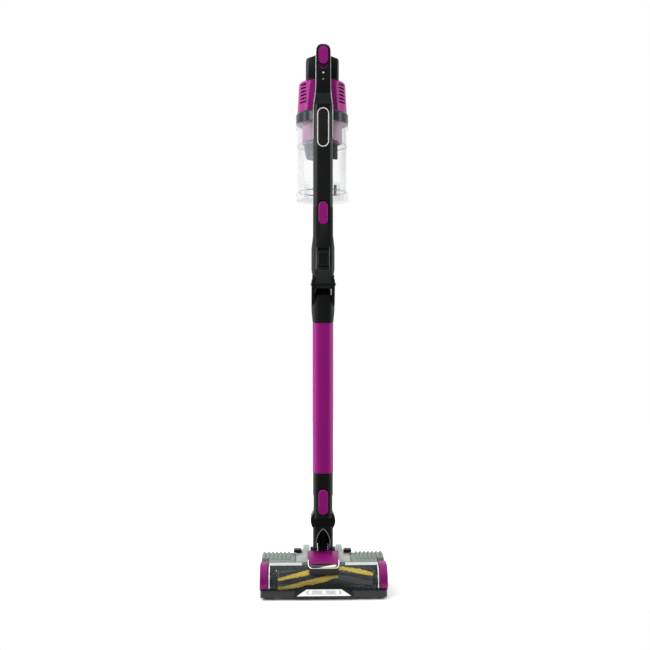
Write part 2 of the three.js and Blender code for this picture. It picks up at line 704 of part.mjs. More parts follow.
// ---- Hand vacuum: motor, battery and dust cup ----
function motorHousing() {
  const { r, top, flat, slots, slotPitch, slotLow } = MOTOR;
  const bottom = RING.top + GAP;
  const outer = revolve([[0, bottom], [r, bottom], [r - 3.6, top - 2.5], [r - 5.6, top], [0, top]]);
  const inner = revolve([
    [0, bottom - 1], [r - 2.5, bottom - 1], [r - 6.1, top - 4], [r - 8, top - 2.5], [0, top - 2.5],
  ]);
  let shell = cut(
    cut(outer, box(-60, 60, -60, flat, 1000, 1080)),
    cut(inner, box(-60, 60, -60, flat + 2.5, 1000, 1080)),
  );
  for (let i = 0; i < slots; i++) {
    const z = slotLow + i * slotPitch;
    for (const side of [-1, 1]) {
      const [x0, x1] = span(side, 34.5, 60);
      const slot = (y0, y1) => box(x0, x1, y0, y1, z - 1.7, z + 1.7);
      shell = cut(shell, slot(flat + 3, 25), slot(62, 84));
    }
  }
  return shell;
}

function cupRing() {
  const { r, bottom, top } = RING;
  const ring = revolve([[48, bottom], [r, bottom], [r, top - 4], [r - 2, top], [48, top]]);
  return cut(ring, box(-21, 21, -20, SPINE.rear + GAP, 980, 1010));
}

function dustCup() {
  const { r, wall, bottom, top } = CUP;
  const inner = r - wall;
  const shell = revolve([
    [inner, bottom], [r, bottom], [r, top - 12], [r + 3.2, top - 10], [r + 3.2, top], [inner, top],
  ], 40);
  const { hingeY, hingeZ, knuckle, pin } = LID;
  const lug = join(
    rod("x", hingeY, hingeZ, knuckle, -8, 8, 8),
    box(-8, 8, 96, hingeY, hingeZ - knuckle, hingeZ + knuckle),
  );
  return cut(
    join(shell, lug),
    cupPort(-9, 0),
    rod("x", hingeY, hingeZ, pin + 0.2, -20, 20, 6),
    box(-21, 21, -20, SPINE.rear + GAP, 960, 990),
  );
}

function cupLid() {
  const { r, bottom, hingeY, hingeZ, knuckle, pin } = LID;
  const top = CUP.bottom - GAP;
  const cap = revolve([
    [0, bottom], [r - 1.2, bottom], [r, bottom + 1.5], [r, top - 2], [r - 1, top],
    [48, top], [48, bottom + 3], [0, bottom + 3],
  ], 40);
  const knuckles = [-1, 1].map((side) =>
    join(
      rod("x", hingeY, hingeZ, knuckle, ...span(side, 8.4, 14), 8),
      box(...span(side, 8.4, 14), hingeY - 1.6, hingeY + knuckle, 830, hingeZ),
    ),
  );
  return cut(
    join(cap, ...knuckles),
    rod("x", hingeY, hingeZ, pin + 0.2, -20, 20, 6),
    box(22, 30, -20, -3.4, 818, 840),
    box(-21, 21, -20, SPINE.rear + GAP, 810, 840),
  );
}

function inletElbow() {
  const [z0, z1] = [903, 943];
  const fine = { curveSegments: 8 };
  const block = extrude(ringSector(0, CUP.y, 45.2, 50.7, -85, -51), "z", z0, z1, fine);
  const way = extrude(ringSector(0, CUP.y, 46.8, 49.2, -82, -44), "z", z0 + 2, z1 - 2, fine);
  return cut(block, way, cupPort(-9, -1.8));
}

function batteryPack() {
  const { half, front, rear, bottom, top } = BATTERY;
  const outline = polygon([
    [-half, bottom], [half, bottom], [half, 1116.5], [half - 2, 1120.3], [14, 1127.6], [0, top],
    [-14, 1127.6], [-half + 2, 1120.3], [-half, 1116.5],
  ]);
  const block = common(
    extrude(outline, "y", front, rear, { bevel: 1 }),
    extrude(roundedRect(0, (front + rear) / 2, 2 * half, rear - front, 7), "z", bottom, top),
  );
  return cut(block, box(-10.3, 10.3, rear - 4, rear + 1, 1104, 1116.6));
}

function handVacuum() {
  const group = new THREE.Group();
  const { y } = CUP;
  const { rear, bottom } = BATTERY;
  const impeller = join(rod("z", 0, y, 27, 1010, 1014.5, 12), rod("z", 0, y, 3, 1014, 1017.6, 6));
  const dock = extrude(roundedRect(0, 44.3, 68, 83.6, 8), "z", MOTOR.top + GAP, bottom - GAP);
  group.add(
    piece("motor_housing", motorHousing(), MAGENTA),
    piece("motor_can", rod("z", 0, y, 30, 1018, 1058, 16), STEEL),
    piece("impeller", impeller, STEEL),
    piece("premotor_filter", rod("z", 0, y, 44, 989, 1001, 16), WHITE),
    piece("cup_ring", cupRing(), SLATE),
    piece("battery_dock", dock, BLACK),
    piece("battery_pack", batteryPack(), BLACK),
    piece("battery_latch", box(-10, 10, rear - 2.2, rear + 2, 1104.3, 1116.3), GRAPHITE),
    piece("dust_cup", dustCup(), CLEAR),
    piece(
      "cyclone_shroud",
      revolve([[40.5, 944], [43.5, 944], [43.5, 982.6], [47.3, 984.3], [47.3, 987.4], [40.5, 987.4]]),
      MAUVE,
    ),
    piece(
      "cyclone_skirt",
      common(revolve([[20, 915], [35, 912], [41.5, 943.6], [20, 943.6]]), box(-60, -3, -10, 100, 900, 950)),
      SLATE,
    ),
    piece("inlet_elbow", inletElbow(), BLACK),
    piece("cup_lid", cupLid(), CLEAR),
    piece("lid_pin", rod("x", LID.hingeY, LID.hingeZ, LID.pin, -14, 14, 6), STEEL),
    piece("lid_latch", box(22.5, 29.5, -7.7, -3.9, 824, 850), BLACK),
  );
  return group;
}

const vacuum = new THREE.Group();
vacuum.name = "cordless_stick_vacuum";
vacuum.add(nozzle(), brushRoll(), neck(), wand(), handle(), handVacuum());

export default vacuum;
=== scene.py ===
"""Looks of the cordless stick vacuum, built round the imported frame. Metres, +Z up, nozzle facing -Y."""

import json
import math
import random

import bmesh
import bpy
from mathutils import Matrix, Vector


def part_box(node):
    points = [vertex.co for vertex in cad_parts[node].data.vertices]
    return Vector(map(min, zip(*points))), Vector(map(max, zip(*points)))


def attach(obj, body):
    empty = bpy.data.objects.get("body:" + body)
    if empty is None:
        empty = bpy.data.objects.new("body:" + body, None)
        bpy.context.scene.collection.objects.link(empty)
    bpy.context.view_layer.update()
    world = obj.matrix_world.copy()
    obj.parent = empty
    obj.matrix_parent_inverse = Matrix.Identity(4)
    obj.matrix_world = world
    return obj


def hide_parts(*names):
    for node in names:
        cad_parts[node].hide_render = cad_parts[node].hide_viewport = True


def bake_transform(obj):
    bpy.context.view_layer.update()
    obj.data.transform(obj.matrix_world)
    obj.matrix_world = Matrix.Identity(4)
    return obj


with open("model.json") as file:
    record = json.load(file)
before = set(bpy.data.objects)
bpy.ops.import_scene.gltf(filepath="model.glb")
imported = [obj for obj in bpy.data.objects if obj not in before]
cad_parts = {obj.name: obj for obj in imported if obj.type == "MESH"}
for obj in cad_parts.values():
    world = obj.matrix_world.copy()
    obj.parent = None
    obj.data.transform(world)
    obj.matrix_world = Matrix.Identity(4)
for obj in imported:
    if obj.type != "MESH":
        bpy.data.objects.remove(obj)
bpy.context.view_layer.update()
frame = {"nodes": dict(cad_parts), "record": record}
MM = 0.001
SLOT = {part["node"]: part["material_slot"] for part in frame["record"]["subparts"]}
BODY = {node: body for body, nodes in frame["record"]["behaviour"]["bodies"].items() for node in nodes}


# ---- Camera ----
def set_camera():
    """A level camera in front, turned a little to the left, about 1.9 m away."""
    wand_low, wand_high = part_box("wand_tube")
    aim = Vector((4.4 * MM, (wand_low.y + wand_high.y) / 2, 552 * MM))
    yaw = math.radians(1.6)
    distance = 1.89
    data = bpy.data.cameras.new("camera")
    data.lens = 50
    data.sensor_width = 36
    camera = bpy.data.objects.new("camera", data)
    camera.location = aim + distance * Vector((-math.sin(yaw), -math.cos(yaw), 0))
    camera.rotation_euler = (math.pi / 2, 0, -yaw)
    bpy.context.scene.collection.objects.link(camera)
    bpy.context.scene.camera = camera


# ---- Materials ----
class Nodes:
    """Short calls for one material's node tree."""

    def __init__(self, name):
        self.material = bpy.data.materials.new(name)
        self.material.use_nodes = True
        self.tree = self.material.node_tree
        self.shader = self.tree.nodes["Principled BSDF"]
        self.place = self.tree.nodes.new("ShaderNodeTexCoord").outputs["Object"]

    def add(self, kind, settings=None, **inputs):
        node = self.tree.nodes.new(kind)
        for key, value in (settings or {}).items():
            setattr(node, key, value)
        for key, value in inputs.items():
            self.feed(node.inputs[key.replace("_", " ")], value)
        return node

    def feed(self, socket, value):
        if isinstance(value, bpy.types.NodeSocket):
            self.tree.links.new(value, socket)
        else:
            socket.default_value = value

    def noise(self, scale, detail=3.0, roughness=0.55):
        return self.add(
            "ShaderNodeTexNoise", Vector=self.place, Scale=scale, Detail=detail, Roughness=roughness
        )

    def ramp(self, value, stops):
        ramp = self.add("ShaderNodeValToRGB", Fac=value)
        for i, (position, colour) in enumerate(stops):
            element = ramp.color_ramp.elements[i] if i < 2 else ramp.color_ramp.elements.new(position)
            element.position = position
            element.color = (*colour, 1)
        return ramp.outputs["Color"]

    def spread(self, value, low, high, start=0.0):
        """Maps a value that runs from start to 1 onto low to high."""
        node = self.add("ShaderNodeMapRange", Value=value)
        node.inputs["From Min"].default_value = start
        node.inputs["To Min"].default_value = low
        node.inputs["To Max"].default_value = high
        return node.outputs["Result"]

    def bump(self, height, strength, distance):
        node = self.add("ShaderNodeBump", Height=height, Strength=strength, Distance=distance)
        self.feed(self.shader.inputs["Normal"], node.outputs["Normal"])

    def set(self, **sockets):
        for key, value in sockets.items():
            self.feed(self.shader.inputs[key.replace("_", " ")], value)


def shade(colour, factor):
    return tuple(min(1.0, c * factor) for c in colour)


def moulded(name, colour, rough=0.42, grain=900, grain_depth=0.00002, coat=0.0, metal=0.0, shine=0.5):
    """Moulded plastic: a fine eroded grain, slow colour drift and uneven gloss."""
    variation = 0.12
    m = Nodes(name)
    drift = m.noise(14, 4).outputs["Fac"]
    fine = m.noise(grain, 2, 0.6).outputs["Fac"]
    m.set(
        Base_Color=m.ramp(drift, [(0.3, shade(colour, 1 - variation)), (0.7, shade(colour, 1 + variation))]),
        Roughness=m.spread(fine, rough - 0.06, rough + 0.08),
        Metallic=metal,
        Coat_Weight=coat,
        Coat_Roughness=0.12,
        Specular_IOR_Level=shine,
    )
    m.bump(fine, 0.25, grain_depth)
    return m.material


def flake_paint(name, colour):
    """Satin paint: tiny bright flakes under a thin clear coat."""
    m = Nodes(name)
    cells = m.add("ShaderNodeTexVoronoi", Vector=m.place, Scale=2600.0)
    drift = m.noise(9, 3).outputs["Fac"]
    mixed = m.add("ShaderNodeMath", {"operation": "MULTIPLY_ADD"})
    m.feed(mixed.inputs[0], cells.outputs["Color"])
    mixed.inputs[1].default_value = 0.25
    m.feed(mixed.inputs[2], m.spread(drift, 0.2, 0.45))
    m.set(
        Base_Color=m.ramp(mixed.outputs[0], [(0.25, shade(colour, 0.85)), (0.8, shade(colour, 1.15))]),
        Roughness=m.spread(cells.outputs["Distance"], 0.32, 0.42),
        Metallic=0.1,
        Specular_IOR_Level=0.2,
        Coat_Weight=0.06,
        Coat_Roughness=0.15,
    )
    m.bump(m.noise(500, 2).outputs["Fac"], 0.12, 0.00002)
    return m.material


def clear_plastic(name, tint, alpha, rough=0.06):
    """Thin clear moulding that darkens towards its edges."""
    m = Nodes(name)
    edge = m.add("ShaderNodeLayerWeight", Blend=0.28).outputs["Facing"]
    haze = m.noise(60, 3).outputs["Fac"]
    m.set(
        Base_Color=m.ramp(haze, [(0.3, shade(tint, 0.94)), (0.7, tint)]),
        Roughness=m.spread(haze, rough, rough + 0.08),
        Alpha=m.spread(edge, alpha[0], alpha[1], 0.12),
        Specular_IOR_Level=0.5,
    )
    m.bump(m.noise(90, 2).outputs["Fac"], 0.02, 0.00004)
    return m.material


def brushed(name, colour, rough=0.3):
    """Bare metal with fine lines along X."""
    m = Nodes(name)
    stretched = m.add("ShaderNodeMapping", Vector=m.place)
    stretched.inputs["Scale"].default_value = (20, 900, 900)
    noise = m.add("ShaderNodeTexNoise", Vector=stretched.outputs["Vector"], Scale=1.0, Detail=3.0)
    lines = noise.outputs["Fac"]
    m.set(
        Base_Color=m.ramp(lines, [(0.3, shade(colour, 0.85)), (0.7, shade(colour, 1.1))]),
        Roughness=m.spread(lines, rough - 0.08, rough + 0.12),
        Metallic=1.0,
    )
    m.bump(lines, 0.1, 0.00002)
    return m.material


def fibre(name, colour):
    """Felt or bristle: rough, uneven and soft at its edges."""
    m = Nodes(name)
    cells = m.noise(1500, 4, 0.7).outputs["Fac"]
    m.set(
        Base_Color=m.ramp(cells, [(0.3, shade(colour, 0.6)), (0.7, shade(colour, 1.15))]),
        Roughness=m.spread(cells, 0.7, 0.95),
        Sheen_Weight=0.3,
    )
    m.bump(cells, 0.5, 0.0002)
    return m.material


def glow(name, colour, strength):
    """Emission: a lamp that is lit, or a painted glow on a surface that is no lamp, standing in for light it
    reflects.
    """
    m = Nodes(name)
    spots = m.noise(400, 2).outputs["Fac"]
    m.set(
        Base_Color=m.ramp(spots, [(0.3, shade(colour, 0.92)), (0.7, colour)]),
        Roughness=m.spread(spots, 0.2, 0.3),
        Emission_Color=(*colour, 1),
        Emission_Strength=strength,
    )
    return m.material


MAGENTA = (0.31, 0.008, 0.195)
LOOK = {
    "magenta": flake_paint("magenta_paint", MAGENTA),
    "black": moulded("black_plastic", (0.006, 0.007, 0.007), 0.36, shine=0.24),
    "graphite": moulded("graphite_plastic", (0.018, 0.021, 0.022), 0.4, shine=0.35),
    "slate": moulded("slate_plastic", (0.014, 0.021, 0.027), 0.18, shine=0.22),
    "silver": moulded("silver_grey_paint", (0.31, 0.335, 0.32), 0.33, coat=0.15, metal=0.15),
    "ribbed_grey": moulded("ribbed_grey_plastic", (0.165, 0.206, 0.176), 0.45, shine=0.4),
    "clear": clear_plastic("clear_cup", (0.60, 0.63, 0.65), (0.022, 0.62)),
    "smoke": clear_plastic("smoky_window", (0.13, 0.145, 0.155), (0.12, 0.6)),
    "mauve": moulded("mauve_shroud", (0.34, 0.19, 0.29), 0.38),
    "yellow": fibre("yellow_bristle", (1.0, 0.66, 0.04)),
    "steel": brushed("brushed_steel", (0.55, 0.57, 0.59)),
    "motor_alloy": brushed("motor_alloy", (0.62, 0.63, 0.65), 0.36),
    "rubber": moulded("rubber", (0.008, 0.008, 0.008), 0.7, grain=600, grain_depth=0.00004, shine=0.3),
    "white": fibre("filter_felt", (0.78, 0.8, 0.8)),
}
DARK_INLAY = moulded("badge_inlay", (0.006, 0.006, 0.007), 0.2, coat=0.3)
# Near white: the real bright trim of the badge and the duct, and painted highlights on the ends of the brush
# window.
BRIGHT_TRIM_AND_HIGHLIGHT = moulded("bright_rim_and_painted_highlight", (0.92, 0.94, 0.94), 0.2, metal=0.1)
# Pale grey strips: painted highlights along the brush window's top and the grip's edges.
PALE_EDGE_HIGHLIGHT = moulded("pale_edge_painted_highlight", (0.45, 0.47, 0.47), 0.3, metal=0.3)
# Light grey lines on dark mouldings: painted highlights on the sleeve and the neck's arch.
SOFT_EDGE_HIGHLIGHT = moulded("soft_edge_painted_highlight", (0.16, 0.17, 0.17), 0.35)
LED = glow("led_white", (1.0, 1.0, 1.0), 1.1)
STATUS = glow("status_white", (0.8, 0.82, 0.82), 0.35)
DIM = glow("led_dim", (0.26, 0.28, 0.27), 0.05)
# The headlight reflector: near white with emission, a painted glow standing in for the light it reflects.
GLOWING_REFLECTOR = glow("lamp_reflector_painted_glow", (0.86, 0.88, 0.88), 0.12)
# The panel behind the lamps is no lamp; its emission is a painted glow.
GLOWING_LAMP_PANEL = glow("lamp_panel_painted_glow", (0.62, 0.65, 0.68), 0.12)
# Ivory for the wedge on the duct's inlay: a painted reflection.
IVORY_PAINTED_GLINT = moulded("ivory_painted_reflection", (0.86, 0.70, 0.52), 0.4)
SLEEVE_GREY = moulded("sleeve_grey", (0.060, 0.066, 0.070), 0.3, coat=0.3)
LENS = clear_plastic("lens", (0.75, 0.78, 0.8), (0.04, 0.3))
SKIRT_GREY = moulded("skirt_grey", (0.15, 0.165, 0.18), 0.35)
GRIP_BLACK = moulded("grip_black", (0.008, 0.009, 0.009), 0.5, shine=0.1)
# Magenta paint darkened to 0.4 as painted shade, for the crescent round the power button's lower edge.
DEEP_SHADED_MAGENTA = flake_paint("deep_magenta_painted_shade", shade(MAGENTA, 0.4))
# Magenta paint darkened to 0.66 as painted shade, for the end caps and the duct cover.
NOZZLE_SHADED_MAGENTA = flake_paint("nozzle_magenta_painted_shade", shade(MAGENTA, 0.66))
CLEAR_EDGE = clear_plastic("clear_edge", (0.45, 0.48, 0.49), (0.14, 0.7), 0.1)
LID_CLEAR = clear_plastic("clear_lid", (0.62, 0.64, 0.67), (0.07, 0.66), 0.1)


# ---- Mesh helpers ----
def finish_piece(bm, name, body, slot, material=None, bevel=0.0, smooth=35, replaces=()):
    """Makes one piece, rounds its edges, hangs it on its body and gives it the given material or the slot's
    look.
    """
    mesh = bpy.data.meshes.new(name)
    bm.to_mesh(mesh)
    bm.free()
    piece = bpy.data.objects.new(name, mesh)
    bpy.context.scene.collection.objects.link(piece)
    mesh.materials.append(material or LOOK[slot])
    mesh.polygons.foreach_set("use_smooth", [True] * len(mesh.polygons))
    mesh.set_sharp_from_angle(angle=math.radians(smooth))
    if bevel:
        rounding = piece.modifiers.new("rounding", "BEVEL")
        rounding.width = bevel
        rounding.segments = 2
        rounding.limit_method = "ANGLE"
        rounding.angle_limit = math.radians(smooth)
        rounding.harden_normals = True
        rounding.use_clamp_overlap = True
    if replaces:
        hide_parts(*replaces)
    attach(piece, body)
    return piece


def cleaned(node):
    """A node's mesh with its flat faces made whole, ready for rounding."""
    bm = bmesh.new()
    bm.from_mesh(frame["nodes"][node].data)
    bmesh.ops.remove_doubles(bm, verts=bm.verts, dist=2e-6)
    bmesh.ops.dissolve_limit(
        bm, angle_limit=math.radians(0.6), verts=bm.verts, edges=bm.edges, delimit={"NORMAL"}
    )
    return bm


def refine(node, bevel, material):
    """A rounded copy of a CAD node that stands for it."""
    finish_piece(cleaned(node), node + "_shell", BODY[node], SLOT[node], material, bevel, replaces=[node])


def loft(rings, caps=True):
    """A skin over closed rings of points, each with the same count."""
    bm = bmesh.new()
    rows = [[bm.verts.new(p) for p in ring] for ring in rings]
    count = len(rows[0])
    for row, after in zip(rows, rows[1:]):
        for i in range(count):
            j = (i + 1) % count
            bm.faces.new((row[i], row[j], after[j], after[i]))
    if caps:
        bm.faces.new(rows[0][::-1])
        bm.faces.new(rows[-1])
    bmesh.ops.recalc_face_normals(bm, faces=bm.faces)
    return bm


def revolve(profile, centre, axis="Z", count=96):
    """A closed outline of (radius, height) points, turned about an axis through centre."""
    bm = bmesh.new()
    rows = []
    for k in range(count):
        turn = 2 * math.pi * k / count
        row = []
        for r, h in profile:
            a, b = r * math.cos(turn), r * math.sin(turn)
            offset = {"Z": (a, b, h), "X": (h, a, b), "Y": (b, h, a)}[axis]
            row.append(bm.verts.new(Vector(centre) + Vector(offset)))
        rows.append(row)
    size = len(profile)
    for k in range(count):
        row, after = rows[k], rows[(k + 1) % count]
        for i in range(size):
            j = (i + 1) % size
            bm.faces.new((row[i], row[j], after[j], after[i]))
    bmesh.ops.remove_doubles(bm, verts=bm.verts, dist=1e-6)
    bmesh.ops.recalc_face_normals(bm, faces=bm.faces)
    return bm


def arc(cx, cy, r, start, end, steps=10):
    """Points on a round stretch, from one angle in degrees to another."""
    angles = [math.radians(start + (end - start) * i / steps) for i in range(steps + 1)]
    return [(cx + r * math.cos(a), cy + r * math.sin(a)) for a in angles]


def stadium(cx, low, high, half, steps=16):
    """An upright outline with round ends, in (x, z)."""
    return arc(cx, high - half, half, 0, 180, steps) + arc(cx, low + half, half, 180, 360, steps)


def plate(outline, y0, y1, hole=None):
    """An (x, z) outline, with a matching hole if given, between two depths."""
    front = [(x, y0, z) for x, z in outline]
    back = [(x, y1, z) for x, z in outline]
    if not hole:
        return loft([front, back])
    inner_front = [(x, y0, z) for x, z in hole]
    inner_back = [(x, y1, z) for x, z in hole]
    bm = loft([front, back, inner_back, inner_front, front], caps=False)
    bmesh.ops.remove_doubles(bm, verts=bm.verts, dist=1e-7)
    bmesh.ops.recalc_face_normals(bm, faces=bm.faces)
    return bm


def disc(centre, r, depth):
    """A short round button that faces along Y, with a chamfered rim."""
    return revolve([(0, 0), (r, 0), (r, depth * 0.75), (r * 0.86, depth), (0, depth)], centre, "Y", 32)


set_camera()


# ---- Lighting and floor ----
FLOOR_SIDE, FLOOR_FRONT, FLOOR_BACK = 2.6, -0.17, 3.2
LIT_FRONT, LIT_BACK, LIT_OVERHEAD = 0.05, 0.85, 0.75


def stage():
    """A plain pale floor that starts just in front of the nozzle."""
    bm = bmesh.new()
    corners = [
        (-FLOOR_SIDE, FLOOR_FRONT),
        (FLOOR_SIDE, FLOOR_FRONT),
        (FLOOR_SIDE, FLOOR_BACK),
        (-FLOOR_SIDE, FLOOR_BACK),
    ]
    bm.faces.new([bm.verts.new((x, y, 0)) for x, y in corners])
    mesh = bpy.data.meshes.new("floor")
    bm.to_mesh(mesh)
    bm.free()
    floor = bpy.data.objects.new("floor", mesh)
    bpy.context.scene.collection.objects.link(floor)
    m = Nodes("pale_floor")
    cloud = m.noise(3, 2).outputs["Fac"]
    m.set(
        Base_Color=m.ramp(cloud, [(0.3, (0.94, 0.94, 0.94)), (0.7, (0.96, 0.96, 0.96))]),
        Roughness=0.9,
        Specular_IOR_Level=0.1,
    )
    mesh.materials.append(m.material)


def area_light(name, place, aim, size, power):
    data = bpy.data.lights.new(name, "AREA")
    data.shape = "RECTANGLE"
    data.size, data.size_y = size
    data.energy = power
    lamp = bpy.data.objects.new(name, data)
    lamp.location = place
    lamp.rotation_euler = (Vector(aim) - Vector(place)).to_track_quat("-Z", "Y").to_euler()
    bpy.context.scene.collection.objects.link(lamp)


def lights():
    """A white studio, bright overhead and behind and dim in front, so that dark faces stay deep."""
    world = bpy.data.worlds.new("studio")
    bpy.context.scene.world = world
    world.use_nodes = True
    tree = world.node_tree

    def node(kind, operation=None, *values):
        made = tree.nodes.new(kind)
        if operation:
            made.operation = operation
        for socket, value in zip(made.inputs, values):
            if isinstance(value, bpy.types.NodeSocket):
                tree.links.new(value, socket)
            else:
                socket.default_value = value
        return made

    split = node("ShaderNodeSeparateXYZ", None, node("ShaderNodeTexCoord").outputs["Generated"])
    shares = (split.outputs["Y"], -0.85, -0.1, LIT_FRONT, LIT_BACK)
    behind = node("ShaderNodeMapRange", None, *shares).outputs["Result"]
    overhead = node("ShaderNodeMath", "MAXIMUM", split.outputs["Z"], 0.0).outputs[0]
    lit = node("ShaderNodeMath", "MULTIPLY_ADD", overhead, LIT_OVERHEAD, behind).outputs[0]
    seen = node("ShaderNodeLightPath").outputs["Is Camera Ray"]
    mixed = tree.nodes.new("ShaderNodeMix")
    tree.links.new(seen, mixed.inputs["Factor"])
    tree.links.new(lit, mixed.inputs["A"])
    mixed.inputs["B"].default_value = 1.0
    background = tree.nodes["Background"]
    background.inputs["Color"].default_value = (1, 1, 1, 1)
    tree.links.new(mixed.outputs["Result"], background.inputs["Strength"])
    area_light("key", (-1.9, -1.7, 1.9), (0, 0, 0.55), (1.2, 1.2), 46)
    for side, name in ((-1, "strip_left"), (1, "strip_right")):
        area_light(name, (side * 1.4, -0.1, 0.9), (0, 0, 0.6), (0.35, 1.8), 8)
    scene = bpy.context.scene
    scene.view_settings.view_transform = "Standard"
    scene.view_settings.look = "None"


stage()
lights()


# ---- Pieces whose CAD shape is kept, with rounded edges ----
# Width of the rounding in millimetres.
ROUNDING = {
    "nozzle_base": 0.8, "rear_cover": 0.6, "front_bumper": 0.8, "headlight_bezel": 0.4,
    "headlight_reflector": 0.3, "centre_cover": 2.0, "duct_cover": 1.6, "suction_duct": 0.8,
    "brush_motor": 1.2, "motor_pulley": 0.4, "drive_belt": 0.2, "rear_axle": 0.3, "end_cap_left": 0.5,
    "end_cap_right": 0.5, "cover_latch_left": 0.8, "cover_latch_right": 0.8, "tilt_pin_left": 0.3,
    "tilt_pin_right": 0.3, "roll_bearing_left": 0.4, "roll_bearing_right": 0.4, "glide_left": 0.6,
    "glide_right": 0.6, "brushroll_core": 0.6, "wheel_left": 1.2, "wheel_right": 1.2, "neck_yoke": 1.0,
    "wand_socket": 0.9, "nozzle_release_button": 0.6, "wand_collar": 0.5, "wand_tube": 0.3,
    "lower_knuckle": 1.0, "fold_pin": 0.6, "fold_sleeve": 0.8, "fold_slider": 0.6,
    "wand_release_button": 0.6, "spine_tube": 0.5, "handle_front": 1.2, "handle_rear": 1.6,
    "power_button": 0.8, "boost_trigger": 0.8, "motor_housing": 0.35, "motor_can": 1.0, "impeller": 0.4,
    "premotor_filter": 1.2, "cup_ring": 0.7, "battery_dock": 0.5, "battery_pack": 1.2,
    "battery_latch": 0.5, "cyclone_skirt": 0.6, "inlet_elbow": 0.5, "lid_pin": 0.2, "brush_window": 0.2,
    "cyclone_shroud": 0.4,
}
OTHER_LOOK = {
    "fold_sleeve": LOOK["black"],
    "battery_pack": LOOK["black"],
    # End caps and duct cover: the magenta with painted shade.
    "end_cap_left": NOZZLE_SHADED_MAGENTA,
    "end_cap_right": NOZZLE_SHADED_MAGENTA,
    "duct_cover": NOZZLE_SHADED_MAGENTA,
    "neck_yoke": LOOK["black"],
    "handle_front": GRIP_BLACK,
    "cyclone_skirt": SKIRT_GREY,
    # The reflector takes the painted glow.
    "headlight_reflector": GLOWING_REFLECTOR,
}
for node, width in ROUNDING.items():
    refine(node, width * MM, OTHER_LOOK.get(node))


def at(*millimetres):
    """A place given in millimetres, in metres."""
    return tuple(v * MM for v in millimetres)


def curved_plate(x0, x1, low, high, radii, axis, columns=24, rows=10):
    """A plate bent round an X axis at (y, z): low(x) and high(x) give its edges in degrees from +Y."""
    bm = bmesh.new()
    skins = []
    for r in radii:
        skin = []
        for i in range(columns + 1):
            x = x0 + (x1 - x0) * i / columns
            line = []
            for j in range(rows + 1):
                a = math.radians(low(x) + (high(x) - low(x)) * j / rows)
                line.append(bm.verts.new(at(x, axis[0] + r * math.cos(a), axis[1] + r * math.sin(a))))
            skin.append(line)
        skins.append(skin)
    for skin in skins:
        for i in range(columns):
            for j in range(rows):
                bm.faces.new((skin[i][j], skin[i + 1][j], skin[i + 1][j + 1], skin[i][j + 1]))
    a, b = skins
    for i in range(columns):
        bm.faces.new((a[i][0], a[i + 1][0], b[i + 1][0], b[i][0]))
        bm.faces.new((a[i][rows], a[i + 1][rows], b[i + 1][rows], b[i][rows]))
    for j in range(rows):
        bm.faces.new((a[0][j], a[0][j + 1], b[0][j + 1], b[0][j]))
        bm.faces.new((a[columns][j], a[columns][j + 1], b[columns][j + 1], b[columns][j]))
    bmesh.ops.recalc_face_normals(bm, faces=bm.faces)
    return bm


def smooth_path(points, steps=8):
    """Points on a smooth curve through the given ones (Catmull-Rom)."""
    p = [Vector(q) for q in points]
    p = [2 * p[0] - p[1]] + p + [2 * p[-1] - p[-2]]
    path = []
    for a, b, c, d in zip(p, p[1:], p[2:], p[3:]):
        for i in range(steps):
            t = i / steps
            square = 2 * a - 5 * b + 4 * c - d
            cube = 3 * b - a - 3 * c + d
            path.append(0.5 * (2 * b + (c - a) * t + square * t**2 + cube * t**3))
    return path + [p[-2]]


def sweep(path, radius, sides=12, up=(0, 0, 1)):
    """A round tube along a path; radius is a number or a function of the share of the way along."""
    rings = []
    for i, point in enumerate(path):
        ahead = (path[min(i + 1, len(path) - 1)] - path[max(i - 1, 0)]).normalized()
        side = ahead.cross(Vector(up)).normalized()
        top = side.cross(ahead).normalized()
        r = radius(i / (len(path) - 1)) if callable(radius) else radius
        turns = [2 * math.pi * k / sides for k in range(sides)]
        rings.append([point + r * (math.cos(t) * side + math.sin(t) * top) for t in turns])
    return loft(rings)


# ---- Brush roll: sleeve, dark blades and yellow bristle rows ----
ROLL = Vector(at(0, -65, 33.3))
PEAK_X = 25
TWIST = 0.0087  # radians for each millimetre away from the peak
SLEEVE_INSIDE, SLEEVE_OUTSIDE = 18.3, 20.2
SLEEVE_LEFT, SLEEVE_RIGHT = -92, 100
BLADE_FOOT, BLADE_TIP = 19.5, 27.6
BLADE_LEFT, BLADE_LENGTH, BLADE_STEPS = -91, 190, 40
BRISTLE_FOOT, BRISTLE_TIP = 20, 28.2
BRISTLE_LEFT, TUFT_STEP = -90.0, 2.6
ACROSS = Vector((1, 0, 0))


def roll_point(x, r, angle):
    """A point on the roll; rows slant back from a peak a little right of the middle."""
    turn = math.radians(angle) + abs(x - PEAK_X) * TWIST
    return ROLL + Vector(at(x, r * math.cos(turn), r * math.sin(turn)))


def brush_sleeve():
    radii = (SLEEVE_INSIDE, SLEEVE_OUTSIDE, SLEEVE_OUTSIDE, SLEEVE_INSIDE)
    ends = (SLEEVE_LEFT, SLEEVE_LEFT, SLEEVE_RIGHT, SLEEVE_RIGHT)
    sleeve = revolve([at(r, x) for r, x in zip(radii, ends)], ROLL, "X", 64)
    finish_piece(
        sleeve, "brush_sleeve", "brushroll", "graphite", SLEEVE_GREY, bevel=0.4 * MM, replaces=["brush_fins"]
    )


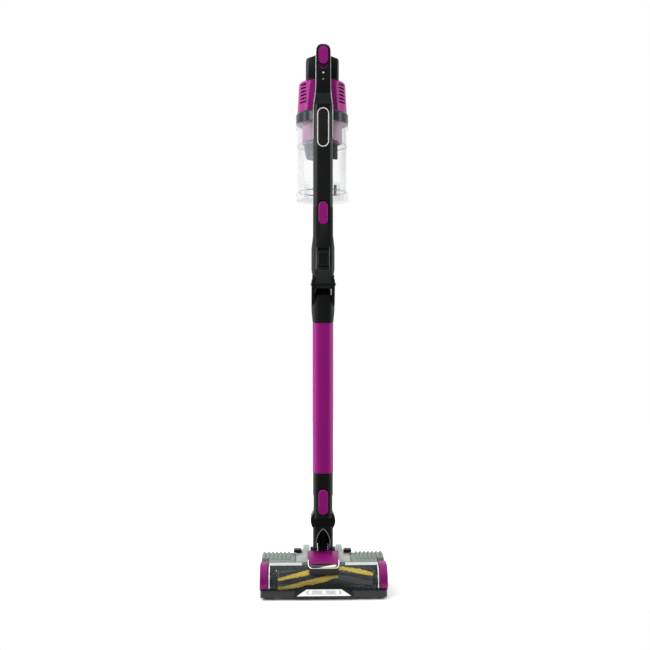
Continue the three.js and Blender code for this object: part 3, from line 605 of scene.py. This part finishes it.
def brush_blades():
    """Eight dark blades that wind round the roll, narrower at their tips."""
    section = [(BLADE_FOOT, -2.6), (BLADE_TIP, -1.6), (BLADE_TIP, 1.6), (BLADE_FOOT, 2.6)]
    blades = bmesh.new()
    for k in range(8):
        previous = None
        for i in range(BLADE_STEPS + 1):
            x = BLADE_LEFT + BLADE_LENGTH * i / BLADE_STEPS
            ring = [blades.verts.new(roll_point(x, r, 85 + 45 * k + a)) for r, a in section]
            if previous:
                for j in range(4):
                    blades.faces.new((previous[j], previous[(j + 1) % 4], ring[(j + 1) % 4], ring[j]))
            else:
                blades.faces.new(ring[::-1])
            previous = ring
        blades.faces.new(previous)
    bmesh.ops.recalc_face_normals(blades, faces=blades.faces)
    finish_piece(blades, "brush_blades", "brushroll", "rubber", smooth=40)


def add_tuft(bm, foot, head, sides=7):
    """A bundle of bristles, a little wider at its tip."""
    side = (head - foot).normalized().cross(ACROSS).normalized()
    turns = [2 * math.pi * t / sides for t in range(sides)]
    rows = []
    for point, r in ((foot, 1.3), (head, 1.9)):
        rows.append([bm.verts.new(point + r * MM * (math.cos(t) * side + math.sin(t) * ACROSS)) for t in turns])
    for t in range(sides):
        u = (t + 1) % sides
        bm.faces.new((rows[0][t], rows[0][u], rows[1][u], rows[1][t]))
    bm.faces.new(rows[0][::-1])
    bm.faces.new(rows[1])


def bristle_rows():
    """Four rows of tufts, each four tufts wide in its middle and narrow at its ends."""
    spread = random.Random(7)
    bristles = bmesh.new()
    for angle, last in ((108.5, 98), (152, 28), (288.5, 98), (332, 28)):
        x = BRISTLE_LEFT
        while x < last:
            width = min(1.0, 0.2 + (x - BRISTLE_LEFT) / 70, 0.4 + (last - x) / 40)
            for offset in (-7.5 * width, -2.5 * width, 2.5 * width, 7.5 * width):
                lean = spread.uniform(-2, 2)
                foot_x = x + spread.uniform(-0.4, 0.4)
                foot = roll_point(foot_x, BRISTLE_FOOT, angle + offset)
                head = roll_point(foot_x + lean * 0.4, BRISTLE_TIP, angle + offset + lean)
                add_tuft(bristles, foot, head)
            x += TUFT_STEP
    bmesh.ops.recalc_face_normals(bristles, faces=bristles.faces)
    finish_piece(bristles, "bristle_rows", "brushroll", "yellow", smooth=50)


brush_sleeve()
brush_blades()
bristle_rows()


# ---- Nozzle front ----
WINDOW_AXIS = (-65, 33.3)
LAMP_Z = 16.2


def stadium_flat(cx, cz, half_width, r):
    """A flat-lying outline with round ends, in (x, z)."""
    return arc(cx + half_width - r, cz, r, -90, 90) + arc(cx - half_width + r, cz, r, 90, 270)


def thicken(piece, thickness):
    wall = piece.modifiers.new("wall", "SOLIDIFY")
    wall.thickness = thickness


def window_highlight_rims():
    """Painted highlights: pale strips along the top and the ends of the brush window, where its clear edges
    catch the light.
    """
    for name, x0, x1 in (("left", -110.5, -44), ("right", 44, 110.5)):
        rim = curved_plate(x0, x1, lambda x: 92, lambda x: 112, (33.55, 34.3), WINDOW_AXIS)
        finish_piece(rim, "window_rim_highlight_" + name, "nozzle", "silver", PALE_EDGE_HIGHLIGHT, smooth=40)
    # The window's clear ends: opaque near-white strips as painted highlights.
    for name, x0, x1 in (("left", -110.6, -109), ("right", 109, 110.6)):
        rim = curved_plate(x0, x1, lambda x: 113, lambda x: 196, (33.55, 34.1), WINDOW_AXIS, 2, 30)
        finish_piece(rim, "window_end_highlight_" + name, "nozzle", "clear", BRIGHT_TRIM_AND_HIGHLIGHT, smooth=40)


def duct_front():
    """The dark lip under the duct cover, its bright trim, and the dark inlay with an ivory wedge that is a
    painted reflection.
    """

    def lip_foot(x):
        inward = max(0.0, abs(x) - 24.5)
        return 151.5 - (5 - math.sqrt(max(0.0, 25 - inward**2))) * 1.7

    lip = curved_plate(-29.4, 29.4, lambda x: 130, lip_foot, (33.7, 35.8), WINDOW_AXIS, columns=60)
    finish_piece(lip, "duct_lip", "nozzle", "black", bevel=0.4 * MM)
    left = [(-30.9, -66, 72.6), (-31.2, -73, 68.6), (-30.2, -79.5, 64.2), (-26.5, -84, 61.1), (-21, -85, 60.4)]
    right = [(-x, y, z) for x, y, z in left[::-1]]
    path = smooth_path([at(*p) for p in left + [(0, -85.2, 60.3)] + right])
    finish_piece(sweep(path, 0.95 * MM), "duct_trim", "nozzle", "silver", BRIGHT_TRIM_AND_HIGHLIGHT, smooth=60)
    inlay = bmesh.new()
    rows = []
    for share in (0, 0.35, 0.7, 1):
        y, z = -77.2 - 7.6 * share, 67.2 - 6.3 * share
        half = 28.6 - 5.5 * share**2
        across = [half * (i / 10 - 1) for i in range(21)]
        rows.append([inlay.verts.new(at(x, y - 0.6, z + 0.5)) for x in across])
    for low, high in zip(rows, rows[1:]):
        for i in range(20):
            inlay.faces.new((low[i], low[i + 1], high[i + 1], high[i]))
    thicken(finish_piece(inlay, "duct_window", "nozzle", "smoke", DARK_INLAY), 0.5 * MM)
    # A pale wedge on the inlay: a painted reflection on the clear duct window.
    outline = [(-9, -84.9, 61.5), (23, -84.9, 61.5), (26, -81.2, 64.6), (24, -79.4, 66.1), (10, -81.6, 64.3)]
    wedge = bmesh.new()
    wedge.faces.new([wedge.verts.new(at(x, y - 0.9, z + 0.8)) for x, y, z in outline])
    thicken(finish_piece(wedge, "duct_painted_reflection", "nozzle", "white", IVORY_PAINTED_GLINT), 0.4 * MM)


def headlight():
    """Three lamps on a pale panel that glows as painted light, behind a clear lens."""
    panel = plate([at(*p) for p in stadium_flat(0, LAMP_Z, 34.4, 3.3)], -98.9 * MM, -98.3 * MM)
    finish_piece(panel, "headlight_panel", "nozzle", "silver", GLOWING_LAMP_PANEL)
    lens = plate([at(*p) for p in stadium_flat(0, LAMP_Z, 34.2, 3.2)], -100.1 * MM, -99.5 * MM)
    finish_piece(lens, "headlight_lens", "nozzle", "clear", LENS)
    for i, x in enumerate((-27, 0, 27)):
        lamp = disc(at(x, -98.9, LAMP_Z), 2.9 * MM, -0.5 * MM)
        finish_piece(lamp, "headlight_led_" + str(i), "nozzle", "white", LED)


window_highlight_rims()
duct_front()
headlight()


# ---- Hoses ----
RIPPLE = 0.45


def ribbed_hose(name, points, r, node, ribs, widen):
    """A bellows along a smooth path from one body to the next."""
    coarse = smooth_path([at(*p) for p in points], 16)
    path = [a.lerp(b, k / 3) for a, b in zip(coarse, coarse[1:]) for k in range(3)] + [coarse[-1]]
    bellows = sweep(
        path, lambda t: (r - RIPPLE + RIPPLE * math.cos(2 * math.pi * ribs * t)) * MM, 36, up=(0, 1, 0)
    )
    mesh = bpy.data.meshes.new(name)
    bellows.to_mesh(mesh)
    bellows.free()
    for v in mesh.vertices:
        v.co.x *= widen
    hose = bpy.data.objects.new(name, mesh)
    bpy.context.scene.collection.objects.link(hose)
    mesh.materials.append(LOOK["rubber"])
    mesh.polygons.foreach_set("use_smooth", [True] * len(mesh.polygons))
    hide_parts(node)
    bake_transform(hose)


NECK_LINE = [(0, 0, 57.5), (0, 0, 62), (0, -1.5, 74), (0, -7, 90), (0, -15, 106), (0, -18, 117)]
FOLD_LINE = [(0, -18, 599), (0, -18, 617), (0, -18, 636), (0, -18, 655), (0, -18, 672)]
ribbed_hose(
    "neck_bellows", NECK_LINE, 10.2, "neck_hose", 14, 1.08
)
ribbed_hose(
    "fold_bellows", FOLD_LINE, 12.9, "fold_hose", 14, 1.35
)


# ---- Handle and badge ----
def handle_details():
    """The badge, the seams along the grip as pale lines that are partly painted highlight, the power button's
    lip in magenta with painted shade, and the status lights.
    """
    rim = plate(
        [at(*p) for p in stadium(0, 921, 1002.5, 12.3)],
        -40.4 * MM, -38.5 * MM,
        [at(*p) for p in stadium(0, 922.9, 1000.6, 10.4)],
    )
    finish_piece(rim, "badge_rim", "hand_vac", "silver", BRIGHT_TRIM_AND_HIGHLIGHT, bevel=0.3 * MM, replaces=["badge_plate"])
    inlay = plate([at(*p) for p in stadium(0, 923, 1000.5, 10.3)], -39.6 * MM, -38.5 * MM)
    finish_piece(inlay, "badge_inlay", "hand_vac", "black", DARK_INLAY, bevel=0.2 * MM)
    # The seams at the grip's sides, drawn lighter than the shells as painted highlights.
    for side, name in ((-1, "left"), (1, "right")):
        line = [
            (9.5, -46.6, 1129.6), (13.2, -46.8, 1124), (14.6, -46.8, 1116), (14.9, -46.8, 1080),
            (14.9, -46.8, 1052), (15.3, -46.2, 1040), (17.0, -43.6, 1024), (19.6, -37.6, 1008),
            (20.0, -35.6, 990), (20.0, -35.6, 940),
        ]
        edge = sweep(smooth_path([at(side * x, y, z) for x, y, z in line]), 0.85 * MM, 10, up=(0, 1, 0))
        finish_piece(edge, "grip_edge_highlight_" + name, "hand_vac", "silver", PALE_EDGE_HIGHLIGHT, smooth=60)
    # The power button's lip: a crescent round its lower edge, in magenta darkened as painted shade.
    lip_outer = arc(0, 1087.5, 9.8, 180, 360, 20)
    lip_inner = arc(0, 1091.5, 9.8, 360, 180, 20)
    lip = plate([at(*p) for p in lip_outer + lip_inner[1:-1]], -54.6 * MM, -53.8 * MM)
    finish_piece(lip, "button_lip", "hand_vac", "magenta", DEEP_SHADED_MAGENTA)
    for name, z, r, look in (("upper", 1070.5, 1.5, STATUS), ("lower", 1057.5, 1.7, DIM)):
        light = disc(at(0, -53.9, z), r * MM, -0.6 * MM)
        finish_piece(light, "status_light_" + name, "hand_vac", "white", look)


handle_details()


# ---- Fold joint and neck ----
def joint_details():
    """Light grey ribs on the sleeve and a rim round the neck's arch, both painted highlights, the screen behind
    the fold and the slider's mark.
    """
    for side, name in ((-1, "left"), (1, "right")):
        line = [(12.9, -38.6, 666), (12.9, -39.3, 672), (12.9, -39.3, 709), (12.9, -38.6, 716)]
        rib = sweep(smooth_path([at(side * x, y, z) for x, y, z in line]), 0.7 * MM, 10, up=(0, 1, 0))
        finish_piece(rib, "sleeve_rib_highlight_" + name, "hand_vac", "graphite", SOFT_EDGE_HIGHLIGHT, smooth=60)
    corners = ((-17.3, 600), (17.3, 600), (17.3, 653), (-17.3, 653))
    shield = plate([at(*p) for p in corners], -3.8 * MM, -2.2 * MM)
    finish_piece(shield, "joint_shield", "wand", "black", bevel=0.4 * MM)
    mark = disc(at(-3.5, -42.3, 676), 1.7 * MM, -0.5 * MM)
    finish_piece(mark, "slider_mark", "fold_slider", "rubber")
    # The arch's outline, lighter than the yoke as a painted highlight.
    arch = [(-14.2, 92), (-14.2, 104), (-12.6, 112), (-8.5, 121), (0, 129.5)]
    path = smooth_path([at(x, -39.1, z) for x, z in arch + [(-x, z) for x, z in arch[-2::-1]]])
    finish_piece(sweep(path, 0.8 * MM, 10, up=(0, 1, 0)), "arch_rim_highlight", "neck", "graphite", SOFT_EDGE_HIGHLIGHT, smooth=60)


joint_details()


# ---- Dust cup ----
CUP = Vector(at(0, 44.5, 0))
FLAT = -8.7 * MM


def flattened(bm, reach=21.2 * MM):
    """Clears the spine: what would reach in front of the cup's flat is drawn back to it."""
    for v in bm.verts:
        if v.co.y < FLAT and abs(v.co.x) < reach:
            v.co.y = FLAT
    return bm


def turned(outline, count=96):
    """An outline of (radius, height) in millimetres, turned about the cup's axis."""
    return revolve([at(*p) for p in outline], CUP, "Z", count)


def block(centre, size):
    """A box, given in millimetres."""
    bm = bmesh.new()
    bmesh.ops.create_cube(
        bm, size=1, matrix=Matrix.Translation(at(*centre)) @ Matrix.Diagonal((*at(*size), 1))
    )
    return bm


def cup_details():
    """The clear cup and its lid, with the band, hinge and latch, and the exhaust filter above them."""
    wall = [
        (51, 838.3), (53, 838.3), (53, 971.7), (54.2, 973), (56, 974), (56.2, 976), (56.2, 983.7),
        (51, 983.7),
    ]
    finish_piece(flattened(turned(wall, 128)), "cup_wall", "hand_vac", "clear", replaces=["dust_cup"])
    band = [(53.05, 936), (54, 936.8), (54, 939), (53.05, 939.8)]
    finish_piece(flattened(turned(band, 128)), "cup_band", "hand_vac", "clear", CLEAR_EDGE)
    lug = block((0, 98, 843), (16, 4.2, 3.8))
    finish_piece(lug, "cup_hinge_lug", "hand_vac", "clear", CLEAR_EDGE, bevel=0.8 * MM)
    lid = [
        (0, 819), (54.8, 819), (56.1, 820.2), (56.3, 821.5), (56.3, 836), (55.3, 838), (48, 838), (48, 822),
        (0, 822),
    ]
    shell = flattened(turned(lid, 128))
    finish_piece(shell, "lid_shell", "cup_lid", "clear", LID_CLEAR, bevel=0.3 * MM, replaces=["cup_lid"])
    baffle = turned([(38.6, 822.2), (40, 822.2), (40, 859), (38.6, 859)])
    finish_piece(baffle, "lid_baffle", "cup_lid", "clear")
    for side, name in ((-1, "left"), (1, "right")):
        ear = block((side * 11.2, 99.1, 838), (5.6, 3.6, 14))
        finish_piece(ear, "lid_knuckle_" + name, "cup_lid", "clear", CLEAR_EDGE, bevel=0.8 * MM)
    gasket = turned([(49.2, 838), (50.8, 838), (50.8, 840), (49.2, 840)])
    finish_piece(gasket, "lid_gasket", "cup_lid", "clear", CLEAR_EDGE)
    latch = block((26, -5.8, 837), (6.5, 3.6, 25.5))
    finish_piece(
        latch, "lid_latch_tab", "lid_latch", "clear", CLEAR_EDGE, bevel=1.0 * MM, replaces=["lid_latch"]
    )
    foam = turned([(42.5, 1012), (45.5, 1012), (44, 1066), (41, 1066)], 64)
    for v in foam.verts:
        v.co.y = max(v.co.y, 5.5 * MM)
    finish_piece(foam, "exhaust_filter", "hand_vac", "black", LOOK["rubber"])


cup_details()
